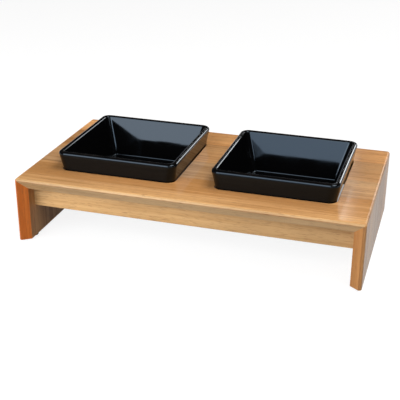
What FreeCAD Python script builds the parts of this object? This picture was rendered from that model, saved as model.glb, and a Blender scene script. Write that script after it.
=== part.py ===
"""Feeding bench for a small pet: two glazed square bowls hang in a mitred bench of glued staves.

Millimetres, +Z up. The origin is on the ground under the middle of the bench, X runs along its
length and the front faces -Y. The bench is sized round the bowls: each one hangs by its flared
walls in a square seat, and a border of wood is left round and between the seats.
"""
import FreeCAD, Part
import math
import os

# Bowls: square in plan, flaring to a rounded rim, with the inside leaning more than the outside
BOWL_RIM_SIDE = 102.0
BOWL_DEPTH = 33.4
BOWL_FLOOR_THICKNESS = 5.0
BOWL_RIM_WALL = 5.5
BOWL_RIM_ROUND_SHARE = 0.42
BOWL_OUTER_SLOPE_DEGREES = 10.0
BOWL_INNER_SLOPE_DEGREES = 16.5
BOWL_CORNER_RADIUS = 7.0
BOWL_BASE_CHAMFER = 1.5
BOWL_INNER_RADIUS = 2.5
FOOT_RING_WIDTH = 5.0
FOOT_RING_HEIGHT = 1.2
FOOT_RING_CORNER_RADIUS = 4.0
RIM_ABOVE_BENCH = 16.0

# Seats: the square cut-outs that carry the bowls, and the wood left round them
SEAT_CLEARANCE = 0.3
SEAT_ARRIS = 0.5
SEAT_GAP = 32.4
END_BORDER = 26.9
SIDE_BORDER = 29.0

# Bench: a top folded down into two sides, with a narrow land and an undercut along the open edges
BENCH_HEIGHT = 54.2
BOARD_THICKNESS = 9.3
EDGE_LAND = 2.5
EDGE_UNDERCUT = 5.0
ARRIS_RADIUS = 2.3
STAVE_WIDTH_SHARES = (0.286, 0.229, 0.271, 0.214)
STAVE_NAMES = ("front", "mid_front", "mid_back", "back")

# Rails: one under the front strip of the top, one under the back strip
RAIL_HEIGHT = 18.5
RAIL_THICKNESS = 9.3
RAIL_SETBACK = 14.3
RAIL_ARRIS_RADIUS = 0.8

# Dowels: one in each end of a rail
DOWEL_DIAMETER = 5.0
DOWEL_LENGTH = 18.0
DOWEL_DEPTH_IN_SIDE = 5.5
DOWEL_END_GAP = 0.5

# Loose tongues: a strip across each mitre, stopped short of the ends so that it stays hidden
TONGUE_THICKNESS = 2.5
TONGUE_WIDTH = 7.0
TONGUE_STOP = 12.0
TONGUE_PLACE_SHARE = 0.62
GLUE_GAP = 0.1

# Pads: rubber discs under the corners of the sides
PAD_DIAMETER = 8.2
PAD_HEIGHT = 1.8
PAD_INSET = 16.5

# Working values for cutting and for picking edges
CUT_OVERRUN = 4.0
EDGE_TOLERANCE = 0.01

X_AXIS = FreeCAD.Vector(1, 0, 0)
Y_AXIS = FreeCAD.Vector(0, 1, 0)
Z_AXIS = FreeCAD.Vector(0, 0, 1)
ORIGIN = FreeCAD.Vector(0, 0, 0)


def lean(height, slope_degrees):
    """Horizontal run of a wall that leans by a slope over a height."""
    return height * math.tan(math.radians(slope_degrees))


# Sizes worked out from the driving dimensions
bowl_height = BOWL_DEPTH + BOWL_FLOOR_THICKNESS
bowl_base_side = BOWL_RIM_SIDE - 2 * lean(bowl_height, BOWL_OUTER_SLOPE_DEGREES)
bowl_mouth_side = BOWL_RIM_SIDE - 2 * BOWL_RIM_WALL
bowl_floor_side = bowl_mouth_side - 2 * lean(BOWL_DEPTH, BOWL_INNER_SLOPE_DEGREES)
bowl_rim_radius = BOWL_RIM_WALL * BOWL_RIM_ROUND_SHARE
bowl_side_at_seat = BOWL_RIM_SIDE - 2 * lean(RIM_ABOVE_BENCH, BOWL_OUTER_SLOPE_DEGREES)
seat_side = bowl_side_at_seat + 2 * SEAT_CLEARANCE
bench_half_width = END_BORDER + seat_side + SEAT_GAP / 2
bench_half_depth = SIDE_BORDER + seat_side / 2
bowl_offset = (seat_side + SEAT_GAP) / 2
bench_bottom = PAD_HEIGHT
bench_top = bench_bottom + BENCH_HEIGHT
board_underside = bench_top - BOARD_THICKNESS
inner_half_width = bench_half_width - BOARD_THICKNESS
rail_middle = bench_half_depth - RAIL_SETBACK - RAIL_THICKNESS / 2


def block(low, high):
    """Box between two opposite corners."""
    size = high - low
    return Part.makeBox(size.x, size.y, size.z, low)


def square_block(side, height, base, corner_radius):
    """Upright square block, centred on a base point, with rounded corners."""
    corner = FreeCAD.Vector(side / 2, side / 2, 0)
    solid = block(base - corner, base + corner + Z_AXIS * height)
    return solid.makeFillet(corner_radius, rising_edges(solid))


def prism_along_y(outline, y_low, y_high):
    """Solid with an outline of (x, z) points, run along Y."""
    points = [FreeCAD.Vector(x, y_low, z) for x, z in outline]
    face = Part.Face(Part.makePolygon(points + points[:1]))
    return face.extrude(Y_AXIS * (y_high - y_low))


def rising_edges(shape):
    """Edges that climb, such as the corners between the walls of a block."""
    return [e for e in shape.Edges if e.BoundBox.ZLength > EDGE_TOLERANCE]


def edges_at_height(shape, height):
    """Edges that lie wholly at one height."""
    level = [e for e in shape.Edges if e.BoundBox.ZLength < EDGE_TOLERANCE]
    return [e for e in level if abs(e.BoundBox.ZMin - height) < EDGE_TOLERANCE]


def flared_block(base_side, top_side, height):
    """Square block on the XY plane that widens upwards."""
    base = base_side / 2
    top = top_side / 2
    solid = Part.makeWedge(-base, 0, -base, -top, -top, base, height, base, top, top)
    solid.rotate(ORIGIN, X_AXIS, 90)
    return solid


def make_bowl_body():
    """Outside of a bowl: flared walls with rounded corners, bevelled at the base."""
    body = flared_block(bowl_base_side, BOWL_RIM_SIDE, bowl_height)
    body = body.makeFillet(BOWL_CORNER_RADIUS, rising_edges(body))
    return body.makeChamfer(BOWL_BASE_CHAMFER, edges_at_height(body, 0))


def make_bowl_hollow():
    """Inside of a bowl, rounded alike at its corners and round its floor."""
    height = BOWL_DEPTH + CUT_OVERRUN
    top_side = bowl_floor_side + 2 * lean(height, BOWL_INNER_SLOPE_DEGREES)
    hollow = flared_block(bowl_floor_side, top_side, height)
    hollow = hollow.makeFillet(BOWL_INNER_RADIUS, rising_edges(hollow) + edges_at_height(hollow, 0))
    hollow.translate(Z_AXIS * BOWL_FLOOR_THICKNESS)
    return hollow


def make_bowl():
    """One bowl standing on the XY plane: flared walls, rounded rim and a foot ring under it."""
    bowl = make_bowl_body().cut(make_bowl_hollow())
    bowl = bowl.makeFillet(bowl_rim_radius, edges_at_height(bowl, bowl_height))
    recess_side = bowl_base_side - 2 * (BOWL_BASE_CHAMFER + FOOT_RING_WIDTH)
    recess = square_block(
        recess_side, FOOT_RING_HEIGHT + CUT_OVERRUN, Z_AXIS * -CUT_OVERRUN,
        FOOT_RING_CORNER_RADIUS)
    return bowl.cut(recess)


def hang_bowl(side):
    """Bowl in its seat, on the left (-1) or the right (1)."""
    bowl = make_bowl()
    base = bench_top + RIM_ABOVE_BENCH - bowl_height
    bowl.translate(FreeCAD.Vector(side * bowl_offset, 0, base))
    return bowl


def make_outer_block():
    """Outside of the bench as one solid block, with its upper and upright edges eased."""
    reach = FreeCAD.Vector(bench_half_width, bench_half_depth, 0)
    solid = block(Z_AXIS * bench_bottom - reach, Z_AXIS * bench_top + reach)
    eased = [e for e in solid.Edges if e.BoundBox.ZMax > bench_top - EDGE_TOLERANCE]
    return solid.makeFillet(ARRIS_RADIUS, eased)


def make_flare():
    """Opening-out of the tunnel at the front of the bench, which undercuts the open edges."""
    low = bench_bottom - CUT_OVERRUN
    mouth_half_width = bench_half_width - EDGE_LAND
    return Part.makeWedge(
        -mouth_half_width, -bench_half_depth, low,
        low, -inner_half_width,
        mouth_half_width, EDGE_UNDERCUT - bench_half_depth, bench_top - EDGE_LAND,
        board_underside, inner_half_width)


def make_tunnel():
    """Space under the top, straight in the middle and flared at the front and back."""
    reach = FreeCAD.Vector(inner_half_width, bench_half_depth, 0)
    straight = block(Z_AXIS * (bench_bottom - CUT_OVERRUN) - reach, Z_AXIS * board_underside + reach)
    flare = make_flare()
    return straight.fuse([flare, flare.mirror(ORIGIN, Y_AXIS)])


def seat_cutter(side):
    """Square hole through the top for one bowl."""
    height = BOARD_THICKNESS + 2 * CUT_OVERRUN
    base = FreeCAD.Vector(side * bowl_offset, 0, board_underside - CUT_OVERRUN)
    return square_block(seat_side, height, base, BOWL_CORNER_RADIUS)


def cut_seats(bench):
    """Bench with both seats cut and their upper edges eased."""
    bench = bench.cut([seat_cutter(-1), seat_cutter(1)])
    rim = [e for e in edges_at_height(bench, bench_top)
           if abs(e.CenterOfMass.y) < bench_half_depth - ARRIS_RADIUS - EDGE_TOLERANCE
           and abs(e.CenterOfMass.x) < bench_half_width - ARRIS_RADIUS - EDGE_TOLERANCE]
    return bench.makeChamfer(SEAT_ARRIS, rim)


def tongue(side, gap):
    """Strip across one mitre; a gap all round turns it into the groove that it sits in."""
    along = FreeCAD.Vector(-side, 0, -1).normalize()
    across = FreeCAD.Vector(side, 0, -1).normalize()
    mitre_length = BOARD_THICKNESS * math.sqrt(2)
    corner = FreeCAD.Vector(side * bench_half_width, 0, bench_top)
    middle = corner + along * (mitre_length * TONGUE_PLACE_SHARE)
    half_thick = along * (TONGUE_THICKNESS / 2 + gap)
    half_wide = across * (TONGUE_WIDTH / 2 + gap)
    corners = [
        middle - half_thick - half_wide,
        middle - half_thick + half_wide,
        middle + half_thick + half_wide,
        middle + half_thick - half_wide,
    ]
    half_length = bench_half_depth - TONGUE_STOP + gap
    return prism_along_y([(p.x, p.z) for p in corners], -half_length, half_length)


def dowel_places(row):
    """Middle of each dowel in the front (-1) or back (1) rail."""
    z_middle = board_underside - RAIL_HEIGHT / 2
    x_middle = inner_half_width + DOWEL_DEPTH_IN_SIDE - DOWEL_LENGTH / 2
    return [FreeCAD.Vector(side * x_middle, row * rail_middle, z_middle) for side in (-1, 1)]


def dowel_row(row, gap, end_gap):
    """Cylinders across both ends of one rail; the gaps turn the dowels into their holes."""
    length = DOWEL_LENGTH + 2 * end_gap
    start = X_AXIS * (length / 2)
    return [
        Part.makeCylinder(DOWEL_DIAMETER / 2 + gap, length, place - start, X_AXIS)
        for place in dowel_places(row)
    ]


def make_dowels(row):
    """Both dowels of one rail."""
    return Part.makeCompound(dowel_row(row, 0, 0))


def dowel_holes(row):
    """Holes for both dowels of one rail, wider and deeper than the dowels."""
    return dowel_row(row, GLUE_GAP, DOWEL_END_GAP)


def make_rail(row):
    """Front (-1) or back (1) rail: it fills the space between the sides under the top."""
    reach = FreeCAD.Vector(inner_half_width, RAIL_THICKNESS / 2, 0)
    middle = Y_AXIS * (row * rail_middle) + Z_AXIS * board_underside
    rail = block(middle - reach - Z_AXIS * RAIL_HEIGHT, middle + reach)
    lower = edges_at_height(rail, board_underside - RAIL_HEIGHT)
    rail = rail.makeFillet(RAIL_ARRIS_RADIUS, [e for e in lower if e.Length > RAIL_THICKNESS])
    return rail.cut(dowel_holes(row))


def make_pad(side, row):
    """Rubber pad under one corner of the bench."""
    centre = FreeCAD.Vector(
        side * (bench_half_width - BOARD_THICKNESS / 2), row * (bench_half_depth - PAD_INSET), 0)
    return Part.makeCylinder(PAD_DIAMETER / 2, PAD_HEIGHT, centre)


def make_bench():
    """Top and sides in one piece, before they are parted at the mitres and glue lines."""
    bench = cut_seats(make_outer_block().cut(make_tunnel()))
    grooves = [tongue(-1, GLUE_GAP), tongue(1, GLUE_GAP)]
    return bench.cut(grooves + dowel_holes(-1) + dowel_holes(1))


def panel_regions():
    """Space of each panel, bounded by the mitre planes, as outlines of (x, z) points."""
    outer = bench_half_width + CUT_OVERRUN
    high = bench_top + CUT_OVERRUN
    low = bench_bottom - CUT_OVERRUN
    regions = {"top": [
        (-outer, high), (outer, high),
        (inner_half_width, board_underside), (-inner_half_width, board_underside)]}
    for name, side in (("left", -1), ("right", 1)):
        regions[name] = [
            (side * outer, high), (side * inner_half_width, board_underside),
            (side * inner_half_width, low), (side * outer, low)]
    return regions


def stave_spans():
    """Name and front and back limits of each stave across the depth of the bench."""
    edges = [-bench_half_depth]
    for share in STAVE_WIDTH_SHARES:
        edges.append(edges[-1] + 2 * bench_half_depth * share / sum(STAVE_WIDTH_SHARES))
    return list(zip(STAVE_NAMES, edges[:-1], edges[1:]))


def make_staves():
    """Every stave of the top and of both sides, cut from the bench along the glue lines."""
    bench = make_bench()
    staves = {}
    for panel, outline in panel_regions().items():
        for name, y_front, y_back in stave_spans():
            stave = bench.common(prism_along_y(outline, y_front, y_back))
            staves[f"{panel}_{name}_stave"] = Part.makeCompound(stave.Solids)
    return staves


def make_nodes():
    """All the pieces of the part, by name."""
    nodes = make_staves()
    for name, row in (("front", -1), ("back", 1)):
        nodes[f"{name}_rail"] = make_rail(row)
        nodes[f"{name}_rail_dowels"] = make_dowels(row)
    for name, side in (("left", -1), ("right", 1)):
        nodes[f"{name}_mitre_tongue"] = tongue(side, 0)
        nodes[f"{name}_bowl"] = hang_bowl(side)
        nodes[f"front_{name}_pad"] = make_pad(side, -1)
        nodes[f"back_{name}_pad"] = make_pad(side, 1)
    return nodes


def main():
    """Build the pieces and write one file for each."""
    os.makedirs("parts", exist_ok=True)
    for name, shape in make_nodes().items():
        shape.exportStep(f"parts/{name}.step")


main()
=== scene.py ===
"""Looks of a feeding bench for a small pet: lacquered stave wood, black glazed bowls and rubber pads.

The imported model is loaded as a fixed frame. The boards, tongues and dowels keep their solids and get
their finishes here. The bowls and pads are modelled again, as cast and moulded pieces, in the places of
their solids.
"""
import logging
import math
from dataclasses import dataclass, field
from enum import Enum

import bmesh
import bpy
from mathutils import Euler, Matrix, Quaternion, Vector, noise


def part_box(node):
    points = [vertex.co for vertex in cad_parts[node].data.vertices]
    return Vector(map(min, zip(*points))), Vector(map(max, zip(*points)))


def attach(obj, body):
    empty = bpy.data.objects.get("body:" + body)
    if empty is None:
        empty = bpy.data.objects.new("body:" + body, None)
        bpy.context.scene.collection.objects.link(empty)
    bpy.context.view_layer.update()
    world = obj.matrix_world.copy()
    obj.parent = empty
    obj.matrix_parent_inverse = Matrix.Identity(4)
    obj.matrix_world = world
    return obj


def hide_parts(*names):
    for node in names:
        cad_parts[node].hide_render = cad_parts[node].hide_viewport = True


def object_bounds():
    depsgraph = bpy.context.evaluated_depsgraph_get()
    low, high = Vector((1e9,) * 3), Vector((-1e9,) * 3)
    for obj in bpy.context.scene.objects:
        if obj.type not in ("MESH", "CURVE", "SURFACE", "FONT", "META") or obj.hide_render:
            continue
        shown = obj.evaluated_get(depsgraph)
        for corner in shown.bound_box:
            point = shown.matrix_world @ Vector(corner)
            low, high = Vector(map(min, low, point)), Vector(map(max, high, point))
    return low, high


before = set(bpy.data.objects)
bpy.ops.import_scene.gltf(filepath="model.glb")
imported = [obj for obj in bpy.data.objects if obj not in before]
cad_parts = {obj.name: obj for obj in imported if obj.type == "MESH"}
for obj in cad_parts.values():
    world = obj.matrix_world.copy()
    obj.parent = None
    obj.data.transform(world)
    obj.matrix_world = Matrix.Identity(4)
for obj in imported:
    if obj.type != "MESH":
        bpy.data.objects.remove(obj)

CAD_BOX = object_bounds()
LOG = logging.getLogger("feeding_bench")
MM = 0.001

Colour = tuple[float, float, float]
Triple = tuple[float, float, float]
Span = tuple[float, float]
Socket = bpy.types.NodeSocket

RISING: Span = (0.0, 1.0)
FALLING: Span = (1.0, 0.0)
NOISE_SPAN: Span = (0.3, 0.7)
MIX_COLOUR_INPUTS = (6, 7)
MIX_COLOUR_OUTPUT = 2


class Grain(Enum):
    """Way that the grain of a board runs, as the turn that lays it along the pattern's X axis."""

    ALONG = (0.0, 0.0, 0.0)
    UPRIGHT = (0.0, math.pi / 2, 0.0)


class BoardTone(Enum):
    """Tones of the boards, each as its pale early wood and its deep late wood, in linear light."""

    HONEY = ((0.700, 0.385, 0.158), (0.500, 0.236, 0.078))
    TAN = ((0.610, 0.352, 0.168), (0.430, 0.222, 0.090))
    AMBER = ((0.610, 0.320, 0.130), (0.410, 0.186, 0.062))
    STRAW = ((0.840, 0.432, 0.170), (0.610, 0.272, 0.088))
    WHEAT = ((0.545, 0.345, 0.165), (0.390, 0.215, 0.085))
    PALE = ((0.840, 0.530, 0.235), (0.660, 0.385, 0.152))
    CARAMEL = ((0.570, 0.268, 0.083), (0.410, 0.169, 0.043))
    RUSSET = ((0.610, 0.180, 0.033), (0.437, 0.108, 0.018))


@dataclass(frozen=True)
class Cloud:
    """Soft noise of one size: features to the metre on each axis, then octaves, their share and a twist."""

    rate: Triple
    detail: float = 2.0
    rough: float = 0.5
    twist: float = 0.0


class NodeSheet:
    """Hand for laying out the shader nodes of one finish."""

    def __init__(self, name: str) -> None:
        """Start an empty material that has only its output.

        Args:
            name: name of the material.
        """
        self.material = bpy.data.materials.new(name)
        self.material.use_nodes = True
        self.tree = self.material.node_tree
        self.tree.nodes.clear()
        self.output = self.add("ShaderNodeOutputMaterial")

    def add(self, kind: str, **settings: object) -> bpy.types.Node:
        """Add a node and set its properties.

        Args:
            kind: Blender's name for the type of node.
            settings: the node's properties, by name.

        Returns:
            The new node.
        """
        node = self.tree.nodes.new(kind)
        for name, value in settings.items():
            setattr(node, name, value)
        return node

    def feed(self, socket: Socket, value: object) -> None:
        """Give an input a link or a constant.

        Args:
            socket: the input.
            value: an output to link, or else the constant.
        """
        if isinstance(value, bpy.types.NodeSocket):
            self.tree.links.new(value, socket)
        else:
            socket.default_value = value

    def place(self, turn: Triple = (0.0, 0.0, 0.0), shift: Triple = (0.0, 0.0, 0.0)) -> Socket:
        """Give the point on the piece in metres, turned and shifted.

        Args:
            turn: turn about the three axes, in radians.
            shift: shift after the turn, in metres.

        Returns:
            The output that holds the point.
        """
        source = self.add("ShaderNodeTexCoord")
        mapping = self.add("ShaderNodeMapping")
        self.feed(mapping.inputs["Vector"], source.outputs["Object"])
        mapping.inputs["Rotation"].default_value = turn
        mapping.inputs["Location"].default_value = shift
        return mapping.outputs["Vector"]

    def part(self, vector: Socket, axis: str) -> Socket:
        """Give one part of a vector.

        Args:
            vector: the output that holds the vector.
            axis: X, Y or Z.

        Returns:
            The output that holds the part.
        """
        node = self.add("ShaderNodeSeparateXYZ")
        self.feed(node.inputs["Vector"], vector)
        return node.outputs[axis]

    def cloud(self, point: Socket, cloud: Cloud) -> Socket:
        """Give soft noise, stretched by its rate along each axis.

        Args:
            point: the output that holds the point.
            cloud: size and fineness of the noise.

        Returns:
            The output that holds the noise, about a half on average.
        """
        stretch = self.add("ShaderNodeVectorMath", operation="MULTIPLY")
        self.feed(stretch.inputs[0], point)
        stretch.inputs[1].default_value = cloud.rate
        node = self.add("ShaderNodeTexNoise")
        self.feed(node.inputs["Vector"], stretch.outputs["Vector"])
        node.inputs["Scale"].default_value = 1.0
        node.inputs["Detail"].default_value = cloud.detail
        node.inputs["Roughness"].default_value = cloud.rough
        node.inputs["Distortion"].default_value = cloud.twist
        return node.outputs["Fac"]

    def spread(self, value: Socket, reading: Span, result: Span = RISING) -> Socket:
        """Take a range of a value to another range, and stop at its ends.

        Args:
            value: the output to be read.
            reading: the readings that give the first and the last result.
            result: the first and the last result.

        Returns:
            The output that holds the result.
        """
        node = self.add("ShaderNodeMapRange", clamp=True)
        self.feed(node.inputs["Value"], value)
        node.inputs["From Min"].default_value = reading[0]
        node.inputs["From Max"].default_value = reading[1]
        node.inputs["To Min"].default_value = result[0]
        node.inputs["To Max"].default_value = result[1]
        return node.outputs["Result"]

    def sum(self, operation: str, first: object, second: object) -> Socket:
        """Work out two numbers with one of Blender's Math operations.

        Args:
            operation: Blender's name for the operation.
            first: an output or a number.
            second: an output or a number.

        Returns:
            The output that holds the result.
        """
        node = self.add("ShaderNodeMath", operation=operation)
        self.feed(node.inputs[0], first)
        self.feed(node.inputs[1], second)
        return node.outputs["Value"]

    def tint(self, share: object, first: object, second: object, blend: str = "MIX") -> Socket:
        """Blend two colours.

        Args:
            share: share of the second colour, an output or a number.
            first: an output or a colour.
            second: an output or a colour.
            blend: Blender's name for the way of blending.

        Returns:
            The output that holds the colour.
        """
        node = self.add("ShaderNodeMix", data_type="RGBA", blend_type=blend)
        self.feed(node.inputs[0], share)
        for place, colour in zip(MIX_COLOUR_INPUTS, (first, second)):
            linked = isinstance(colour, bpy.types.NodeSocket)
            self.feed(node.inputs[place], colour if linked else (*colour, 1.0))
        return node.outputs[MIX_COLOUR_OUTPUT]

    def relief(self, height: Socket, depth: float, strength: float) -> Socket:
        """Turn a height into a bumped normal.

        Args:
            height: the output that holds the height, from nought to one.
            depth: depth of the relief in metres.
            strength: share of the relief that shows.

        Returns:
            The output that holds the normal.
        """
        node = self.add("ShaderNodeBump")
        self.feed(node.inputs["Height"], height)
        node.inputs["Distance"].default_value = depth
        node.inputs["Strength"].default_value = strength
        return node.outputs["Normal"]

    def surface(self, links: dict[str, Socket], constants: dict[str, object]) -> bpy.types.Material:
        """End the finish with a principled surface.

        Args:
            links: outputs for the surface's inputs, by the input's name.
            constants: values for the surface's inputs, by the input's name.

        Returns:
            The finished material.
        """
        shader = self.add("ShaderNodeBsdfPrincipled")
        for name, value in constants.items():
            shader.inputs[name].default_value = value
        for name, socket in links.items():
            self.tree.links.new(socket, shader.inputs[name])
        self.tree.links.new(shader.outputs["BSDF"], self.output.inputs["Surface"])
        return self.material


@dataclass(frozen=True)
class LacqueredWood:
    """Streaked hardwood under clear satin lacquer, with painted shade in a darker tone on the faces that look
    to the front or the back, and a painted light falloff along the bench.
    """

    pore: Colour = (0.170, 0.070, 0.022)
    fleck: Colour = (0.120, 0.045, 0.015)
    seed_step: Triple = (0.37, 0.61, 0.23)
    figure_cloud: Cloud = Cloud((2.4, 42.0, 42.0), 3.0, 0.5, 0.9)
    figure_share: float = 0.40
    streak_cloud: Cloud = Cloud((5.0, 260.0, 260.0), 4.0, 0.62, 0.3)
    streak_share: float = 0.38
    hair_cloud: Cloud = Cloud((18.0, 1100.0, 1100.0), 2.0, 0.6)
    hair_share: float = 0.22
    late_wood_span: Span = (0.44, 0.56)
    late_wood_rise: float = 0.35
    patch_cloud: Cloud = Cloud((9.0, 26.0, 26.0))
    patch_span: Span = (0.30, 0.70)
    patch_shade: Span = (0.84, 1.10)
    pore_cloud: Cloud = Cloud((150.0, 2300.0, 2300.0), 1.0)
    pore_span: Span = (0.60, 0.72)
    pore_share: float = 0.42
    pore_depth: float = 0.12 * MM
    pore_strength: float = 0.5
    fleck_cloud: Cloud = Cloud((140.0, 1100.0, 1100.0), 0.0)
    fleck_span: Span = (0.72, 0.79)
    fleck_share: float = 0.30
    glue_width: float = 0.22 * MM
    glue_share: float = 0.45
    # painted shade: faces whose normal leans this far to the front or the back take the darker second tone
    painted_shade_span: Span = (0.25, 0.60)
    wood_roughness: Span = (0.36, 0.52)
    wood_gloss: float = 0.1
    lacquer_roughness: float = 0.13
    lacquer_ior: float = 1.5
    peel_cloud: Cloud = Cloud((260.0, 420.0, 420.0))
    peel_depth: float = 0.05 * MM
    peel_strength: float = 0.25
    grain_in_film: float = 0.25
    coat: float = 1.0
    # painted light: the colour is scaled from the first factor at the bench's left end to the second at its
    # right end
    painted_light_drift: Span = (1.0, 1.0)

    def material(self, name: str, tones: tuple[BoardTone, BoardTone], grain: Grain, seed: int,
                 joints: Span) -> bpy.types.Material:
        """Lay out the wood of one board.

        Args:
            name: name of the material.
            tones: tone of the board's faces, and the darker tone painted as shade on its faces that look to
                the front or the back.
            grain: way that its grain runs.
            seed: number of the board, which gives it its own figure.
            joints: the board's two edges along Y, where glue lines show.

        Returns:
            The material.
        """
        sheet = NodeSheet(name)
        point = sheet.place(grain.value, tuple(step * seed for step in self.seed_step))
        streak = sheet.cloud(point, self.streak_cloud)
        depth = self.late_wood(sheet, point, streak)
        # the second tone is painted shade: a darker tone on the faces that look to the front or the back
        face, edge = (sheet.tint(depth, *tone.value) for tone in tones)
        colour = sheet.tint(self.painted_shade_mask(sheet), face, edge)
        shade = sheet.spread(sheet.cloud(point, self.patch_cloud), self.patch_span, self.patch_shade)
        # the random patches, times the painted light falloff along the bench
        colour = sheet.tint(1.0, colour, sheet.sum("MULTIPLY", shade, self.painted_light_fade(sheet)), "MULTIPLY")
        pores = sheet.spread(sheet.cloud(point, self.pore_cloud), self.pore_span)
        colour = sheet.tint(sheet.sum("MULTIPLY", pores, self.pore_share), colour, self.pore)
        flecks = sheet.spread(sheet.cloud(point, self.fleck_cloud), self.fleck_span)
        colour = sheet.tint(sheet.sum("MULTIPLY", flecks, self.fleck_share), colour, self.fleck)
        glue = sheet.sum("MULTIPLY", self.glue_lines(sheet, joints), self.glue_share)
        colour = sheet.tint(glue, colour, self.fleck)
        relief = sheet.sum("SUBTRACT", sheet.sum("MULTIPLY", depth, -self.late_wood_rise), pores)
        peel = sheet.cloud(point, self.peel_cloud)
        film = sheet.sum("ADD", sheet.sum("MULTIPLY", relief, self.grain_in_film), peel)
        return sheet.surface(
            {
                "Base Color": colour,
                "Roughness": sheet.spread(streak, NOISE_SPAN, self.wood_roughness),
                "Normal": sheet.relief(relief, self.pore_depth, self.pore_strength),
                "Coat Normal": sheet.relief(film, self.peel_depth, self.peel_strength),
            },
            {
                "Specular IOR Level": self.wood_gloss,
                "Coat Weight": self.coat,
                "Coat Roughness": self.lacquer_roughness,
                "Coat IOR": self.lacquer_ior,
            },
        )

    def late_wood(self, sheet: NodeSheet, point: Socket, streak: Socket) -> Socket:
        """Mark the deep late wood from the broad figure, the streaks and the fine hairs.

        Args:
            sheet: the sheet that the nodes go on.
            point: the output that holds the point along the grain.
            streak: the output that holds the streaks.

        Returns:
            The output that is one in late wood and nought in early wood.
        """
        figure = sheet.sum("MULTIPLY", sheet.cloud(point, self.figure_cloud), self.figure_share)
        depth = sheet.sum("ADD", figure, sheet.sum("MULTIPLY", streak, self.streak_share))
        hair = sheet.sum("MULTIPLY", sheet.cloud(point, self.hair_cloud), self.hair_share)
        return sheet.spread(sheet.sum("ADD", depth, hair), self.late_wood_span)

    def painted_shade_mask(self, sheet: NodeSheet) -> Socket:
        """Mark the faces that look to the front or the back, where a darker tone is painted as shade.

        Args:
            sheet: the sheet that the nodes go on.

        Returns:
            The output that is one on a face looking to the front or the back, and nought on one looking up or
            sideways.
        """
        normal = sheet.add("ShaderNodeTexCoord").outputs["Normal"]
        return sheet.spread(sheet.sum("ABSOLUTE", sheet.part(normal, "Y"), 0.0), self.painted_shade_span)

    def painted_light_fade(self, sheet: NodeSheet) -> Socket:
        """Give the painted light falloff along the bench: a brightness that changes from its left end to its
        right one.
        """
        return sheet.spread(sheet.part(sheet.place(), "X"), (CAD_BOX[0][0], CAD_BOX[1][0]), self.painted_light_drift)

    def glue_lines(self, sheet: NodeSheet, joints: Span) -> Socket:
        """Mark the thin lines of glue along a board's two edges.

        Args:
            sheet: the sheet that the nodes go on.
            joints: the two edges along Y, in metres.

        Returns:
            The output that is one on a line and nought beside it.
        """
        across = sheet.part(sheet.place(), "Y")
        first = sheet.spread(across, (joints[0], joints[0] + self.glue_width), FALLING)
        second = sheet.spread(across, (joints[1] - self.glue_width, joints[1]))
        return sheet.sum("MAXIMUM", first, second)


@dataclass(frozen=True)
class BareWood:
    """Dry beech of the hidden tongues and dowels, with its short flecks."""

    pale: Colour = (0.62, 0.42, 0.26)
    deep: Colour = (0.48, 0.29, 0.16)
    fleck: Colour = (0.30, 0.15, 0.07)
    streak_cloud: Cloud = Cloud((20.0, 700.0, 700.0), 3.0, 0.6)
    streak_span: Span = (0.35, 0.65)
    fleck_cloud: Cloud = Cloud((500.0, 2600.0, 2600.0), 0.0)
    fleck_span: Span = (0.66, 0.74)
    fleck_share: float = 0.6
    roughness: Span = (0.62, 0.78)
    relief_depth: float = 0.1 * MM
    relief_strength: float = 0.5
    gloss: float = 0.3

    def material(self, name: str, grain: Grain) -> bpy.types.Material:
        """Lay out the wood of one piece of joinery.

        Args:
            name: name of the material.
            grain: way that its grain runs.

        Returns:
            The material.
        """
        sheet = NodeSheet(name)
        point = sheet.place(grain.value)
        streak = sheet.cloud(point, self.streak_cloud)
        colour = sheet.tint(sheet.spread(streak, self.streak_span), self.pale, self.deep)
        flecks = sheet.spread(sheet.cloud(point, self.fleck_cloud), self.fleck_span)
        colour = sheet.tint(sheet.sum("MULTIPLY", flecks, self.fleck_share), colour, self.fleck)
        height = sheet.sum("SUBTRACT", streak, flecks)
        return sheet.surface(
            {
                "Base Color": colour,
                "Roughness": sheet.spread(streak, NOISE_SPAN, self.roughness),
                "Normal": sheet.relief(height, self.relief_depth, self.relief_strength),
            },
            {"Specular IOR Level": self.gloss},
        )


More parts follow.
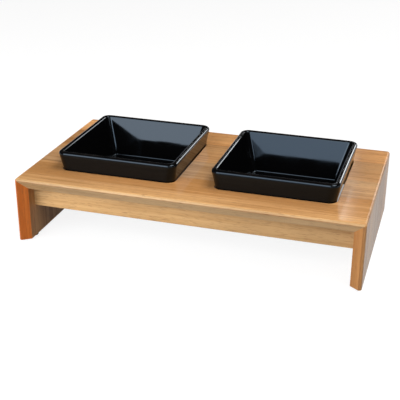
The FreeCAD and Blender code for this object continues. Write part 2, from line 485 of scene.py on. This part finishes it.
@dataclass(frozen=True)
class BlackGlaze:
    """Glossy black glaze over stoneware, thin on the edges and wiped off the foot."""

    deep: Colour = (0.0016, 0.0016, 0.0018)
    thin: Colour = (0.0080, 0.0060, 0.0048)
    thin_share: float = 0.55
    clay: Colour = (0.330, 0.265, 0.205)
    clay_speck: float = 0.6
    clay_roughness: float = 0.85
    foot_line: float = 0.55 * MM
    foot_fade: float = 0.12 * MM
    rim_line: float = 1.2 * MM
    pool_cloud: Cloud = Cloud((60.0, 60.0, 60.0), 3.0)
    pool_span: Span = (0.35, 0.65)
    speck_cloud: Cloud = Cloud((1500.0, 1500.0, 1500.0))
    speck_span: Span = (0.4, 0.7)
    wave_cloud: Cloud = Cloud((45.0, 45.0, 45.0), 1.0)
    peel_cloud: Cloud = Cloud((420.0, 420.0, 420.0), 1.0)
    peel_share: float = 0.035
    film_depth: float = 0.25 * MM
    film_strength: float = 0.35
    roughness: Span = (0.035, 0.075)
    ior: float = 1.5
    gloss: float = 0.3
    # painted reflection colour: tints everything the glaze mirrors a cool blue
    painted_sky_tint: Colour = (0.64, 0.82, 1.0)

    def material(self, name: str, low: float, high: float) -> bpy.types.Material:
        """Lay out the glaze of one bowl.

        Args:
            name: name of the material.
            low: height of the foot, in metres.
            high: height of the rim, in metres.

        Returns:
            The material.
        """
        sheet = NodeSheet(name)
        point = sheet.place()
        height = sheet.part(point, "Z")
        pool = sheet.cloud(point, self.pool_cloud)
        edge = sheet.spread(height, (high - self.rim_line, high), (0.0, self.thin_share))
        thinned = sheet.sum("MULTIPLY", edge, sheet.spread(pool, self.pool_span))
        colour = sheet.tint(thinned, self.deep, self.thin)
        glazed = low + self.foot_line
        bare = sheet.spread(height, (glazed, glazed + self.foot_fade), FALLING)
        specks = sheet.spread(sheet.cloud(point, self.speck_cloud), self.speck_span)
        clay = sheet.tint(specks, self.clay, tuple(self.clay_speck * part for part in self.clay))
        colour = sheet.tint(bare, colour, clay)
        shine = sheet.spread(pool, NOISE_SPAN, self.roughness)
        rough = sheet.sum("MAXIMUM", shine, sheet.sum("MULTIPLY", bare, self.clay_roughness))
        wave = sheet.cloud(point, self.wave_cloud)
        peel = sheet.cloud(point, self.peel_cloud)
        film = sheet.sum("ADD", wave, sheet.sum("MULTIPLY", peel, self.peel_share))
        return sheet.surface(
            {
                "Base Color": colour,
                "Roughness": rough,
                "Normal": sheet.relief(film, self.film_depth, self.film_strength),
            },
            {
                "IOR": self.ior,
                "Specular IOR Level": self.gloss,
                "Specular Tint": (*self.painted_sky_tint, 1.0),
            },
        )


@dataclass(frozen=True)
class PadRubber:
    """Dull black rubber with a fine moulded tooth."""

    dark: Colour = (0.018, 0.017, 0.016)
    dusty: Colour = (0.050, 0.047, 0.043)
    dust_cloud: Cloud = Cloud((700.0, 700.0, 700.0), 3.0)
    dust_span: Span = (0.4, 0.75)
    tooth_cloud: Cloud = Cloud((5200.0, 5200.0, 5200.0))
    tooth_depth: float = 0.06 * MM
    tooth_strength: float = 0.6
    roughness: Span = (0.68, 0.88)
    gloss: float = 0.35

    def material(self, name: str) -> bpy.types.Material:
        """Lay out the rubber of the pads.

        Args:
            name: name of the material.

        Returns:
            The material.
        """
        sheet = NodeSheet(name)
        point = sheet.place()
        tooth = sheet.cloud(point, self.tooth_cloud)
        dust = sheet.spread(sheet.cloud(point, self.dust_cloud), self.dust_span)
        return sheet.surface(
            {
                "Base Color": sheet.tint(dust, self.dark, self.dusty),
                "Roughness": sheet.spread(tooth, NOISE_SPAN, self.roughness),
                "Normal": sheet.relief(tooth, self.tooth_depth, self.tooth_strength),
            },
            {"Specular IOR Level": self.gloss},
        )


@dataclass(frozen=True)
class PaleFloor:
    """White studio floor that keeps the shadow of what stands on it."""

    pale: Colour = (0.22, 0.22, 0.22)
    patch_shade: float = 0.985
    patch_cloud: Cloud = Cloud((3.0, 3.0, 3.0))
    glow: float = 0.86
    mirrored_glow: float = 0.45

    def material(self) -> bpy.types.Material:
        """Lay out the floor, with a little light of its own where it is seen, or seen mirrored.

        Returns:
            The material.
        """
        sheet = NodeSheet("pale_floor")
        shader = sheet.add("ShaderNodeBsdfDiffuse")
        patch = sheet.spread(sheet.cloud(sheet.place(), self.patch_cloud), NOISE_SPAN)
        pale = sheet.tint(patch, self.pale, tuple(self.patch_shade * part for part in self.pale))
        sheet.feed(shader.inputs["Color"], pale)
        path = sheet.add("ShaderNodeLightPath")
        seen = sheet.sum("MULTIPLY", path.outputs["Is Camera Ray"], self.glow)
        bounced = sheet.sum("MAXIMUM", path.outputs["Is Glossy Ray"], path.outputs["Is Transmission Ray"])
        mirrored = sheet.sum("MULTIPLY", bounced, self.mirrored_glow)
        light = sheet.add("ShaderNodeEmission")
        sheet.feed(light.inputs["Strength"], sheet.sum("ADD", seen, mirrored))
        both = sheet.add("ShaderNodeAddShader")
        sheet.feed(both.inputs[0], shader.outputs["BSDF"])
        sheet.feed(both.inputs[1], light.outputs["Emission"])
        sheet.feed(sheet.output.inputs["Surface"], both.outputs["Shader"])
        return sheet.material


def cover(piece: bpy.types.Object, material: bpy.types.Material) -> None:
    """Put one finish over the whole of a piece."""
    piece.data.materials.clear()
    piece.data.materials.append(material)


def add_mesh(name: str, points: list[Vector], faces: list[tuple[int, ...]]) -> bpy.types.Object:
    """Make a smooth mesh piece with its faces turned outwards.

    Args:
        name: name of the piece.
        points: its corners, in metres.
        faces: its faces, as numbers of corners.

    Returns:
        The new piece.
    """
    mesh = bpy.data.meshes.new(name)
    mesh.from_pydata([tuple(point) for point in points], [], faces)
    work = bmesh.new()
    work.from_mesh(mesh)
    bmesh.ops.recalc_face_normals(work, faces=work.faces)
    for face in work.faces:
        face.smooth = True
    work.to_mesh(mesh)
    work.free()
    piece = bpy.data.objects.new(name, mesh)
    bpy.context.scene.collection.objects.link(piece)
    return piece


def stack_faces(levels: int, around: int) -> list[tuple[int, ...]]:
    """Join a stack of closed outlines into a skin with a lid at each end.

    Args:
        levels: number of outlines.
        around: corners in each outline.

    Returns:
        The faces, as numbers of corners.
    """
    faces: list[tuple[int, ...]] = []
    for level in range(levels - 1):
        for step in range(around):
            here = level * around + step
            beside = level * around + (step + 1) % around
            faces.append((here, beside, beside + around, here + around))
    faces.append(tuple(reversed(range(around))))
    faces.append(tuple(range((levels - 1) * around, levels * around)))
    return faces


def ease(share: float) -> float:
    """Slow a share down near nought and near one."""
    return share * share * (3.0 - 2.0 * share)


def turn_towards(way: Vector, roll: float) -> Euler:
    """Give the turn of a lamp or a camera that looks along a way.

    Args:
        way: the way that it looks.
        roll: its roll about that way, in degrees.

    Returns:
        The turn.
    """
    rolled = Quaternion((0.0, 0.0, 1.0), math.radians(roll))
    return (way.to_track_quat("-Z", "Y") @ rolled).to_euler()


@dataclass(frozen=True)
class Ring:
    """One level outline of a bowl: half of its side, its corner radius and its height."""

    half: float
    corner: float
    height: float


@dataclass
class Bowl:
    """One square bowl, cast with soft edges and glazed, in the place of its solid."""

    side: str
    rim_wall: float = 4.3 * MM
    rim_radius: float = 2.31 * MM
    lip_radius: float = 1.9 * MM
    outer_slope: float = math.radians(10.0)
    inner_slope: float = math.radians(16.5)
    outer_corner: float = 7.0 * MM
    inner_corner: float = 4.0 * MM
    floor_thickness: float = 5.0 * MM
    floor_radius: float = 2.0 * MM
    base_round: float = 1.5 * MM
    foot_width: float = 5.0 * MM
    foot_height: float = 1.2 * MM
    foot_corner: float = 4.0 * MM
    foot_round: float = 0.4 * MM
    foot_turn: float = 0.3
    hollow_shares: tuple[float, ...] = (0.12, 0.4, 0.7, 0.97)
    floor_shares: tuple[float, ...] = (0.97, 0.88, 0.72, 0.52, 0.32, 0.12)
    floor_rounding: float = 0.5
    wall_bow: float = 0.22 * MM
    unevenness: float = 0.05 * MM
    unevenness_rate: float = 38.0
    unevenness_seed: int = 5
    corner_steps: int = 12
    side_steps: int = 14
    arc_steps: int = 9
    wall_steps: int = 8
    glaze: BlackGlaze = field(default_factory=BlackGlaze)

    def __post_init__(self) -> None:
        """Read the bowl's place from its solid."""
        self.node = f"{self.side}_bowl"
        low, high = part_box(self.node)
        self.low = low.z
        self.high = high.z
        self.middle = Vector(((low.x + high.x) / 2, (low.y + high.y) / 2, 0.0))
        self.height = high.z - low.z
        lean = self.outer_slope
        self.half = (high.x - low.x) / 2 + self.rim_radius * (math.tan(lean) + 1.0 / math.cos(lean) - 1.0)

    def outer_half(self, height: float) -> float:
        """Half of the outer side at a height above the foot."""
        return self.half - (self.height - height) * math.tan(self.outer_slope)

    def inner_half(self, height: float) -> float:
        """Half of the inner side at a height above the foot."""
        return self.half - self.rim_wall - (self.height - height) * math.tan(self.inner_slope)

    def underside(self) -> list[Ring]:
        """Outlines from the middle of the hollow under the bowl to the outer edge of its foot.

        Returns:
            The outlines, in order.
        """
        outer = self.outer_half(0.0) - self.base_round
        inner = outer - self.foot_width
        soft = self.foot_round
        rings = []
        for share in self.hollow_shares:
            rings.append(Ring(inner * share, self.foot_corner * share, self.foot_height))
        rings.append(Ring(inner, self.foot_corner, self.foot_height - soft / 2))
        rings.append(Ring(inner, self.foot_corner, soft))
        rings.append(Ring(inner + soft * self.foot_turn, self.foot_corner, soft * self.foot_turn))
        rings.append(Ring(inner + soft, self.foot_corner, 0.0))
        rings.append(Ring(inner + self.foot_width / 2, self.foot_corner, 0.0))
        return rings

    def outer_wall(self) -> list[Ring]:
        """Outlines from the foot's outer edge up to the rounding of the rim.

        Returns:
            The outlines, in order.
        """
        lean = self.outer_slope
        radius = self.base_round
        rings = []
        centre = self.outer_half(radius) - radius / math.cos(lean)
        for step in range(self.arc_steps + 1):
            angle = -math.pi / 2 + (math.pi / 2 - lean) * step / self.arc_steps
            reach, rise = radius * math.cos(angle), radius * math.sin(angle)
            rings.append(Ring(centre + reach, self.outer_corner - radius + reach, radius + rise))
        start = rings[-1].height
        end = self.height - self.rim_radius * (1.0 + math.sin(lean))
        for step in range(1, self.wall_steps):
            height = start + (end - start) * ease(step / self.wall_steps)
            rings.append(Ring(self.outer_half(height), self.outer_corner, height))
        return rings

    def rim(self) -> list[Ring]:
        """Outlines over the rim, from its outer rounding to its inner one.

        Returns:
            The outlines, in order.
        """
        halves = []
        radius = self.rim_radius
        level = self.height - radius
        outer = self.outer_half(level) - radius / math.cos(self.outer_slope)
        for step in range(self.arc_steps + 1):
            angle = -self.outer_slope + (math.pi / 2 + self.outer_slope) * step / self.arc_steps
            halves.append((outer + radius * math.cos(angle), level + radius * math.sin(angle)))
        radius = self.lip_radius
        level = self.height - radius
        inner = self.inner_half(level) + radius / math.cos(self.inner_slope)
        for step in range(self.arc_steps + 1):
            angle = math.pi / 2 + (math.pi / 2 - self.inner_slope) * step / self.arc_steps
            halves.append((inner + radius * math.cos(angle), level + radius * math.sin(angle)))
        first, last = halves[0][0], halves[-1][0]
        narrowing = (self.outer_corner - self.inner_corner) / (first - last)
        return [Ring(half, self.outer_corner - (first - half) * narrowing, height) for half, height in halves]

    def inside(self) -> list[Ring]:
        """Outlines from the rim's inner rounding down the wall and over the floor to its middle.

        Returns:
            The outlines, in order.
        """
        radius = self.floor_radius
        level = self.floor_thickness + radius
        start = self.height - self.lip_radius * (1.0 - math.sin(self.inner_slope))
        end = level - radius * math.sin(self.inner_slope)
        rings = []
        for step in range(1, self.wall_steps):
            height = start + (end - start) * ease(step / self.wall_steps)
            rings.append(Ring(self.inner_half(height), self.inner_corner, height))
        centre = self.inner_half(level) - radius / math.cos(self.inner_slope)
        widest = centre + radius * math.cos(self.inner_slope)
        for step in range(self.arc_steps + 1):
            angle = -self.inner_slope - (math.pi / 2 - self.inner_slope) * step / self.arc_steps
            half = centre + radius * math.cos(angle)
            rings.append(Ring(half, self.inner_corner - (widest - half), level + radius * math.sin(angle)))
        edge = rings[-1]
        for share in self.floor_shares:
            half = edge.half * share
            corner = edge.corner * share + half * self.floor_rounding * (1.0 - share)
            rings.append(Ring(half, corner, edge.height))
        return rings

    def outline(self, ring: Ring) -> list[Vector]:
        """Points round one outline, about the bowl's middle.

        Args:
            ring: the outline.

        Returns:
            The points, anticlockwise from the right-hand front corner.
        """
        points = []
        reach = ring.half - ring.corner
        for quarter in range(4):
            turn = math.pi / 2 * (quarter - 1)
            ends = []
            for corner in (quarter, quarter + 1):
                way = math.pi / 2 * corner - math.pi / 4
                across, along = math.copysign(reach, math.cos(way)), math.copysign(reach, math.sin(way))
                ends.append(Vector((across, along, 0.0)))
            for step in range(self.corner_steps + 1):
                angle = turn + math.pi / 2 * step / self.corner_steps
                arc = Vector((math.cos(angle), math.sin(angle), 0.0)) * ring.corner
                points.append(ends[0] + arc)
            arc = Vector((math.cos(turn + math.pi / 2), math.sin(turn + math.pi / 2), 0.0)) * ring.corner
            for step in range(1, self.side_steps):
                points.append(ends[0].lerp(ends[1], step / self.side_steps) + arc)
        for point in points:
            point.z = ring.height
        return points

    def cast(self, point: Vector) -> Vector:
        """Move a point of the clean form as casting and firing do: walls draw in between their corners.

        Args:
            point: the point, about the middle of the foot.

        Returns:
            The point on the real bowl, in the shared frame.
        """
        along_x, along_y = point.x / self.half, point.y / self.half
        bow = self.wall_bow * point.z / self.height
        drawn = Vector((
            point.x - bow * along_x ** 3 * max(0.0, 1.0 - along_y ** 2),
            point.y - bow * along_y ** 3 * max(0.0, 1.0 - along_x ** 2),
            point.z,
        ))
        placed = drawn + self.middle + Vector((0.0, 0.0, self.low))
        sway = noise.noise_vector(placed * self.unevenness_rate) * self.unevenness
        inward = Vector((-along_x * abs(sway.x), -along_y * abs(sway.y), 0.0))
        return placed + inward

    def build(self) -> bpy.types.Object:
        """Make the bowl's mesh and put it in place of its solid.

        Returns:
            The bowl.
        """
        noise.seed_set(self.unevenness_seed)
        rings = self.underside() + self.outer_wall() + self.rim() + self.inside()
        points = [self.cast(point) for ring in rings for point in self.outline(ring)]
        around = 4 * (self.corner_steps + self.side_steps)
        piece = add_mesh(f"{self.side}_glazed_bowl", points, stack_faces(len(rings), around))
        flat = piece.modifiers.new("flat_walls", "WEIGHTED_NORMAL")
        flat.keep_sharp = False
        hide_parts(self.node)
        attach(piece, self.node)
        cover(piece, self.glaze.material(f"{self.side}_black_glaze", self.low, self.high))
        return piece


@dataclass
class Pads:
    """Four moulded rubber pads under the sides of the bench.

    Each line of a pad is given as shares of its radius, with shares of the dish's depth below and of the
    pad's height above.
    """

    edge: float = 0.55 * MM
    dish: float = 0.25 * MM
    dish_line: tuple[Span, ...] = ((0.08, 1.0), (0.40, 1.0), (0.56, 0.4), (0.64, 0.0))
    top_line: tuple[Span, ...] = ((1.0, 0.85), (0.97, 1.0), (0.08, 1.0))
    steps: int = 48
    arc_steps: int = 6
    rubber: PadRubber = field(default_factory=PadRubber)

    def profile(self, radius: float, height: float) -> list[Span]:
        """Outline of a pad from the middle of its underside to the middle of its top.

        Args:
            radius: radius of the pad.
            height: height of the pad.

        Returns:
            Distances from the middle and heights.
        """
        line = [(radius * reach, self.dish * rise) for reach, rise in self.dish_line]
        for step in range(self.arc_steps + 1):
            angle = math.pi / 2 * step / self.arc_steps
            reach = radius - self.edge + self.edge * math.sin(angle)
            line.append((reach, self.edge - self.edge * math.cos(angle)))
        line += [(radius * reach, height * rise) for reach, rise in self.top_line]
        return line

    def build(self) -> list[bpy.types.Object]:
        """Make the four pads in place of their solids.

        Returns:
            The pads.
        """
        material = self.rubber.material("pad_rubber")
        pieces = []
        for place in ("front_left", "front_right", "back_left", "back_right"):
            node = f"{place}_pad"
            low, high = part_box(node)
            middle = (low + high) / 2
            line = self.profile((high.x - low.x) / 2, high.z - low.z)
            points = []
            for reach, rise in line:
                for step in range(self.steps):
                    angle = 2.0 * math.pi * step / self.steps
                    across, along = reach * math.cos(angle), reach * math.sin(angle)
                    points.append(Vector((middle.x + across, middle.y + along, low.z + rise)))
            piece = add_mesh(f"{place}_rubber_pad", points, stack_faces(len(line), self.steps))
            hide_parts(node)
            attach(piece, "bench")
            cover(piece, material)
            pieces.append(piece)
        return pieces


@dataclass
class Bench:
    """The wooden stand: glued-up staves, rails and their joinery."""

    # painted light: each finish's painted_light_drift lightens or darkens it from the bench's left end to its
    # right end
    top_finish: LacqueredWood = LacqueredWood(coat=0.28, painted_light_drift=(0.94, 1.03))
    left_finish: LacqueredWood = LacqueredWood(coat=0.1)
    right_finish: LacqueredWood = LacqueredWood(coat=0.6, painted_light_drift=(1.0, 0.80))
    rail_finish: LacqueredWood = LacqueredWood(coat=0.4, painted_light_drift=(1.20, 0.84))
    bare: BareWood = field(default_factory=BareWood)
    rows: tuple[tuple[str, BoardTone, BoardTone, BoardTone], ...] = (
        ("front", BoardTone.HONEY, BoardTone.AMBER, BoardTone.HONEY),
        ("mid_front", BoardTone.TAN, BoardTone.AMBER, BoardTone.TAN),
        ("mid_back", BoardTone.AMBER, BoardTone.AMBER, BoardTone.AMBER),
        ("back", BoardTone.STRAW, BoardTone.HONEY, BoardTone.STRAW),
    )
    # darker tones painted as shade on each part's faces that look to the front or the back, such as the nose,
    # land and undercut of the top
    edges: dict[str, BoardTone] = field(default_factory=lambda: {
        "top": BoardTone.WHEAT,
        "left": BoardTone.RUSSET,
        "right": BoardTone.CARAMEL,
    })
    rails: tuple[str, ...] = ("front_rail", "back_rail")
    rail_tones: tuple[BoardTone, BoardTone] = (BoardTone.PALE, BoardTone.PALE)
    joinery: tuple[str, ...] = (
        "front_rail_dowels", "back_rail_dowels", "left_mitre_tongue", "right_mitre_tongue")

    def dress_board(self, node: str, finish: LacqueredWood, tones: tuple[BoardTone, BoardTone], grain: Grain,
                    seed: int) -> None:
        """Finish one board in lacquered wood.

        Args:
            node: name of the board.
            finish: lacquer and wood.
            tones: tone of its faces, and the darker tone painted as shade on its faces that look to the front
                or the back.
            grain: way that its grain runs.
            seed: number of the board.
        """
        low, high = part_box(node)
        material = finish.material(f"{node}_lacquer", tones, grain, seed, (low.y, high.y))
        cover(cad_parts[node], material)

    def dress(self) -> list[str]:
        """Finish all the wood.

        Returns:
            Names of the pieces that were finished.
        """
        done = []
        seed = 1
        finishes = {"top": self.top_finish, "left": self.left_finish, "right": self.right_finish}
        for row, *tones in self.rows:
            for (part, finish), tone in zip(finishes.items(), tones):
                node = f"{part}_{row}_stave"
                grain = Grain.ALONG if part == "top" else Grain.UPRIGHT
                self.dress_board(node, finish, (tone, self.edges[part]), grain, seed)
                done.append(node)
                seed += 1
        for node in self.rails:
            self.dress_board(node, self.rail_finish, self.rail_tones, Grain.ALONG, seed)
            done.append(node)
            seed += 1
        along = self.bare.material("bare_beech_along", Grain.ALONG)
        for node in self.joinery:
            cover(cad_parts[node], along)
            done.append(node)
        return done


@dataclass(frozen=True)
class Softbox:
    """One rectangular studio lamp, aimed at a point: lengths in metres, its roll in degrees."""

    name: str
    place: Triple
    aim: Triple
    width: float
    height: float
    radiance: float
    colour: Colour = (1.0, 1.0, 1.0)
    roll: float = 0.0
    mirrored: bool = True

    def hang(self) -> None:
        """Put the lamp in the scene, out of the camera's sight."""
        lamp = bpy.data.lights.new(self.name, "AREA")
        lamp.shape = "RECTANGLE"
        lamp.size = self.width
        lamp.size_y = self.height
        lamp.energy = self.radiance * math.pi * self.width * self.height
        lamp.color = self.colour
        holder = bpy.data.objects.new(self.name, lamp)
        holder.location = self.place
        holder.rotation_euler = turn_towards(Vector(self.aim) - Vector(self.place), self.roll)
        holder.visible_camera = False
        holder.visible_glossy = self.mirrored
        bpy.context.scene.collection.objects.link(holder)


@dataclass
class Studio:
    """Pale floor, soft lamps and a dim room with walls that are pale at their foot."""

    floor_half: float = 12.0
    foot_top: float = 0.05
    foot_fade: float = 0.14
    foot_light: float = 0.95
    room_light: float = 0.03
    floor: PaleFloor = field(default_factory=PaleFloor)
    lamps: tuple[Softbox, ...] = (
        Softbox("high_sky", (-0.485, -1.026, 0.697), (-0.485, 0.0, 0.03), 0.93, 0.64, 5.4, (0.92, 0.96, 1.0)),
        Softbox("right_top", (0.55, -0.10, 1.15), (0.0, 0.0, 0.05), 0.60, 0.60, 8.7, (1.0, 0.98, 0.95)),
        Softbox("right_high", (0.581, -0.743, 0.87), (0.0, 0.0, 0.05), 0.80, 0.60, 2.0, (1.0, 0.97, 0.93)),
        Softbox("left_sky", (-0.615, -1.20, 0.325), (-0.615, 0.0, 0.05), 0.59, 0.31, 7.2, (1.0, 0.98, 1.0)),
        Softbox("right_sky", (-0.10, -1.20, 0.325), (-0.10, 0.0, 0.05), 0.44, 0.31, 5.3, (0.83, 0.90, 1.0)),
        Softbox("low_left", (-1.25, -0.85, 0.32), (0.0, 0.0, 0.05), 0.90, 0.50, 9.8, (1.0, 0.97, 0.93),
                mirrored=False),
        Softbox("side_panel", (1.07, -0.01, 0.215), (0.0, 0.0, 0.06), 0.22, 0.20, 2.4),
        Softbox("rim_softbox", (0.485, 1.15, 0.41), (0.0, 0.0, 0.06), 0.14, 0.34, 7.5, roll=-32.6),
        Softbox("streak_strip", (-0.062, 1.43, 0.68), (0.10, 0.0, 0.05), 0.024, 0.30, 11.0),
    )

    def lay_floor(self) -> None:
        """Lay the floor under the bench."""
        half = self.floor_half
        sides = ((-half, -half), (half, -half), (half, half), (-half, half))
        corners = [Vector((across, along, 0.0)) for across, along in sides]
        floor = add_mesh("studio_floor", corners, [(0, 1, 2, 3)])
        cover(floor, self.floor.material())

    def light_room(self) -> None:
        """Keep the room dim, and the foot of its walls pale."""
        world = bpy.data.worlds.new("studio_room")
        bpy.context.scene.world = world
        world.use_nodes = True
        tree = world.node_tree
        tree.nodes.clear()
        way = tree.nodes.new("ShaderNodeTexCoord")
        parts = tree.nodes.new("ShaderNodeSeparateXYZ")
        fall = tree.nodes.new("ShaderNodeMapRange")
        fall.interpolation_type = "SMOOTHSTEP"
        ends = {
            "From Min": self.foot_top,
            "From Max": self.foot_fade,
            "To Min": self.foot_light,
            "To Max": self.room_light,
        }
        for name, value in ends.items():
            fall.inputs[name].default_value = value
        light = tree.nodes.new("ShaderNodeBackground")
        output = tree.nodes.new("ShaderNodeOutputWorld")
        tree.links.new(way.outputs["Generated"], parts.inputs["Vector"])
        tree.links.new(parts.outputs["Z"], fall.inputs["Value"])
        tree.links.new(fall.outputs["Result"], light.inputs["Strength"])
        tree.links.new(light.outputs["Background"], output.inputs["Surface"])

    def build(self) -> None:
        """Set up the floor, the room and the lamps."""
        self.lay_floor()
        self.light_room()
        for lamp in self.lamps:
            lamp.hang()
        bpy.context.scene.view_settings.view_transform = "Standard"


@dataclass(frozen=True)
class Camera:
    """The camera at the photograph's place: angles in degrees, lengths in metres, lens and sensor in mm."""

    azimuth: float = 16.236
    elevation: float = 24.19
    distance: float = 0.74411
    target: Triple = (0.001843, 0.0, 0.02361)
    roll: float = 0.597
    lens: float = 79.11
    sensor: float = 36.0
    shift: float = -0.03
    nearest: float = 0.01
    farthest: float = 100.0

    def set_up(self) -> None:
        """Put the camera in the scene."""
        data = bpy.data.cameras.new("photo_camera")
        data.lens = self.lens
        data.sensor_width = self.sensor
        data.shift_x = self.shift
        data.clip_start = self.nearest
        data.clip_end = self.farthest
        camera = bpy.data.objects.new("photo_camera", data)
        turn, rise = math.radians(self.azimuth), math.radians(self.elevation)
        back = Vector((math.sin(turn) * math.cos(rise), -math.cos(turn) * math.cos(rise), math.sin(rise)))
        camera.location = Vector(self.target) + back * self.distance
        camera.rotation_euler = turn_towards(-back, self.roll)
        bpy.context.scene.collection.objects.link(camera)
        bpy.context.scene.camera = camera


def main() -> None:
    """Build and dress the bench, then set up the studio and the camera."""
    logging.basicConfig(level=logging.INFO, format="%(name)s: %(message)s")
    for node in Bench().dress():
        LOG.info("finished %s", node)
    for side in ("left", "right"):
        LOG.info("built %s", Bowl(side).build().name)
    for piece in Pads().build():
        LOG.info("built %s", piece.name)
    Studio().build()
    Camera().set_up()


if __name__ == "__main__":
    main()
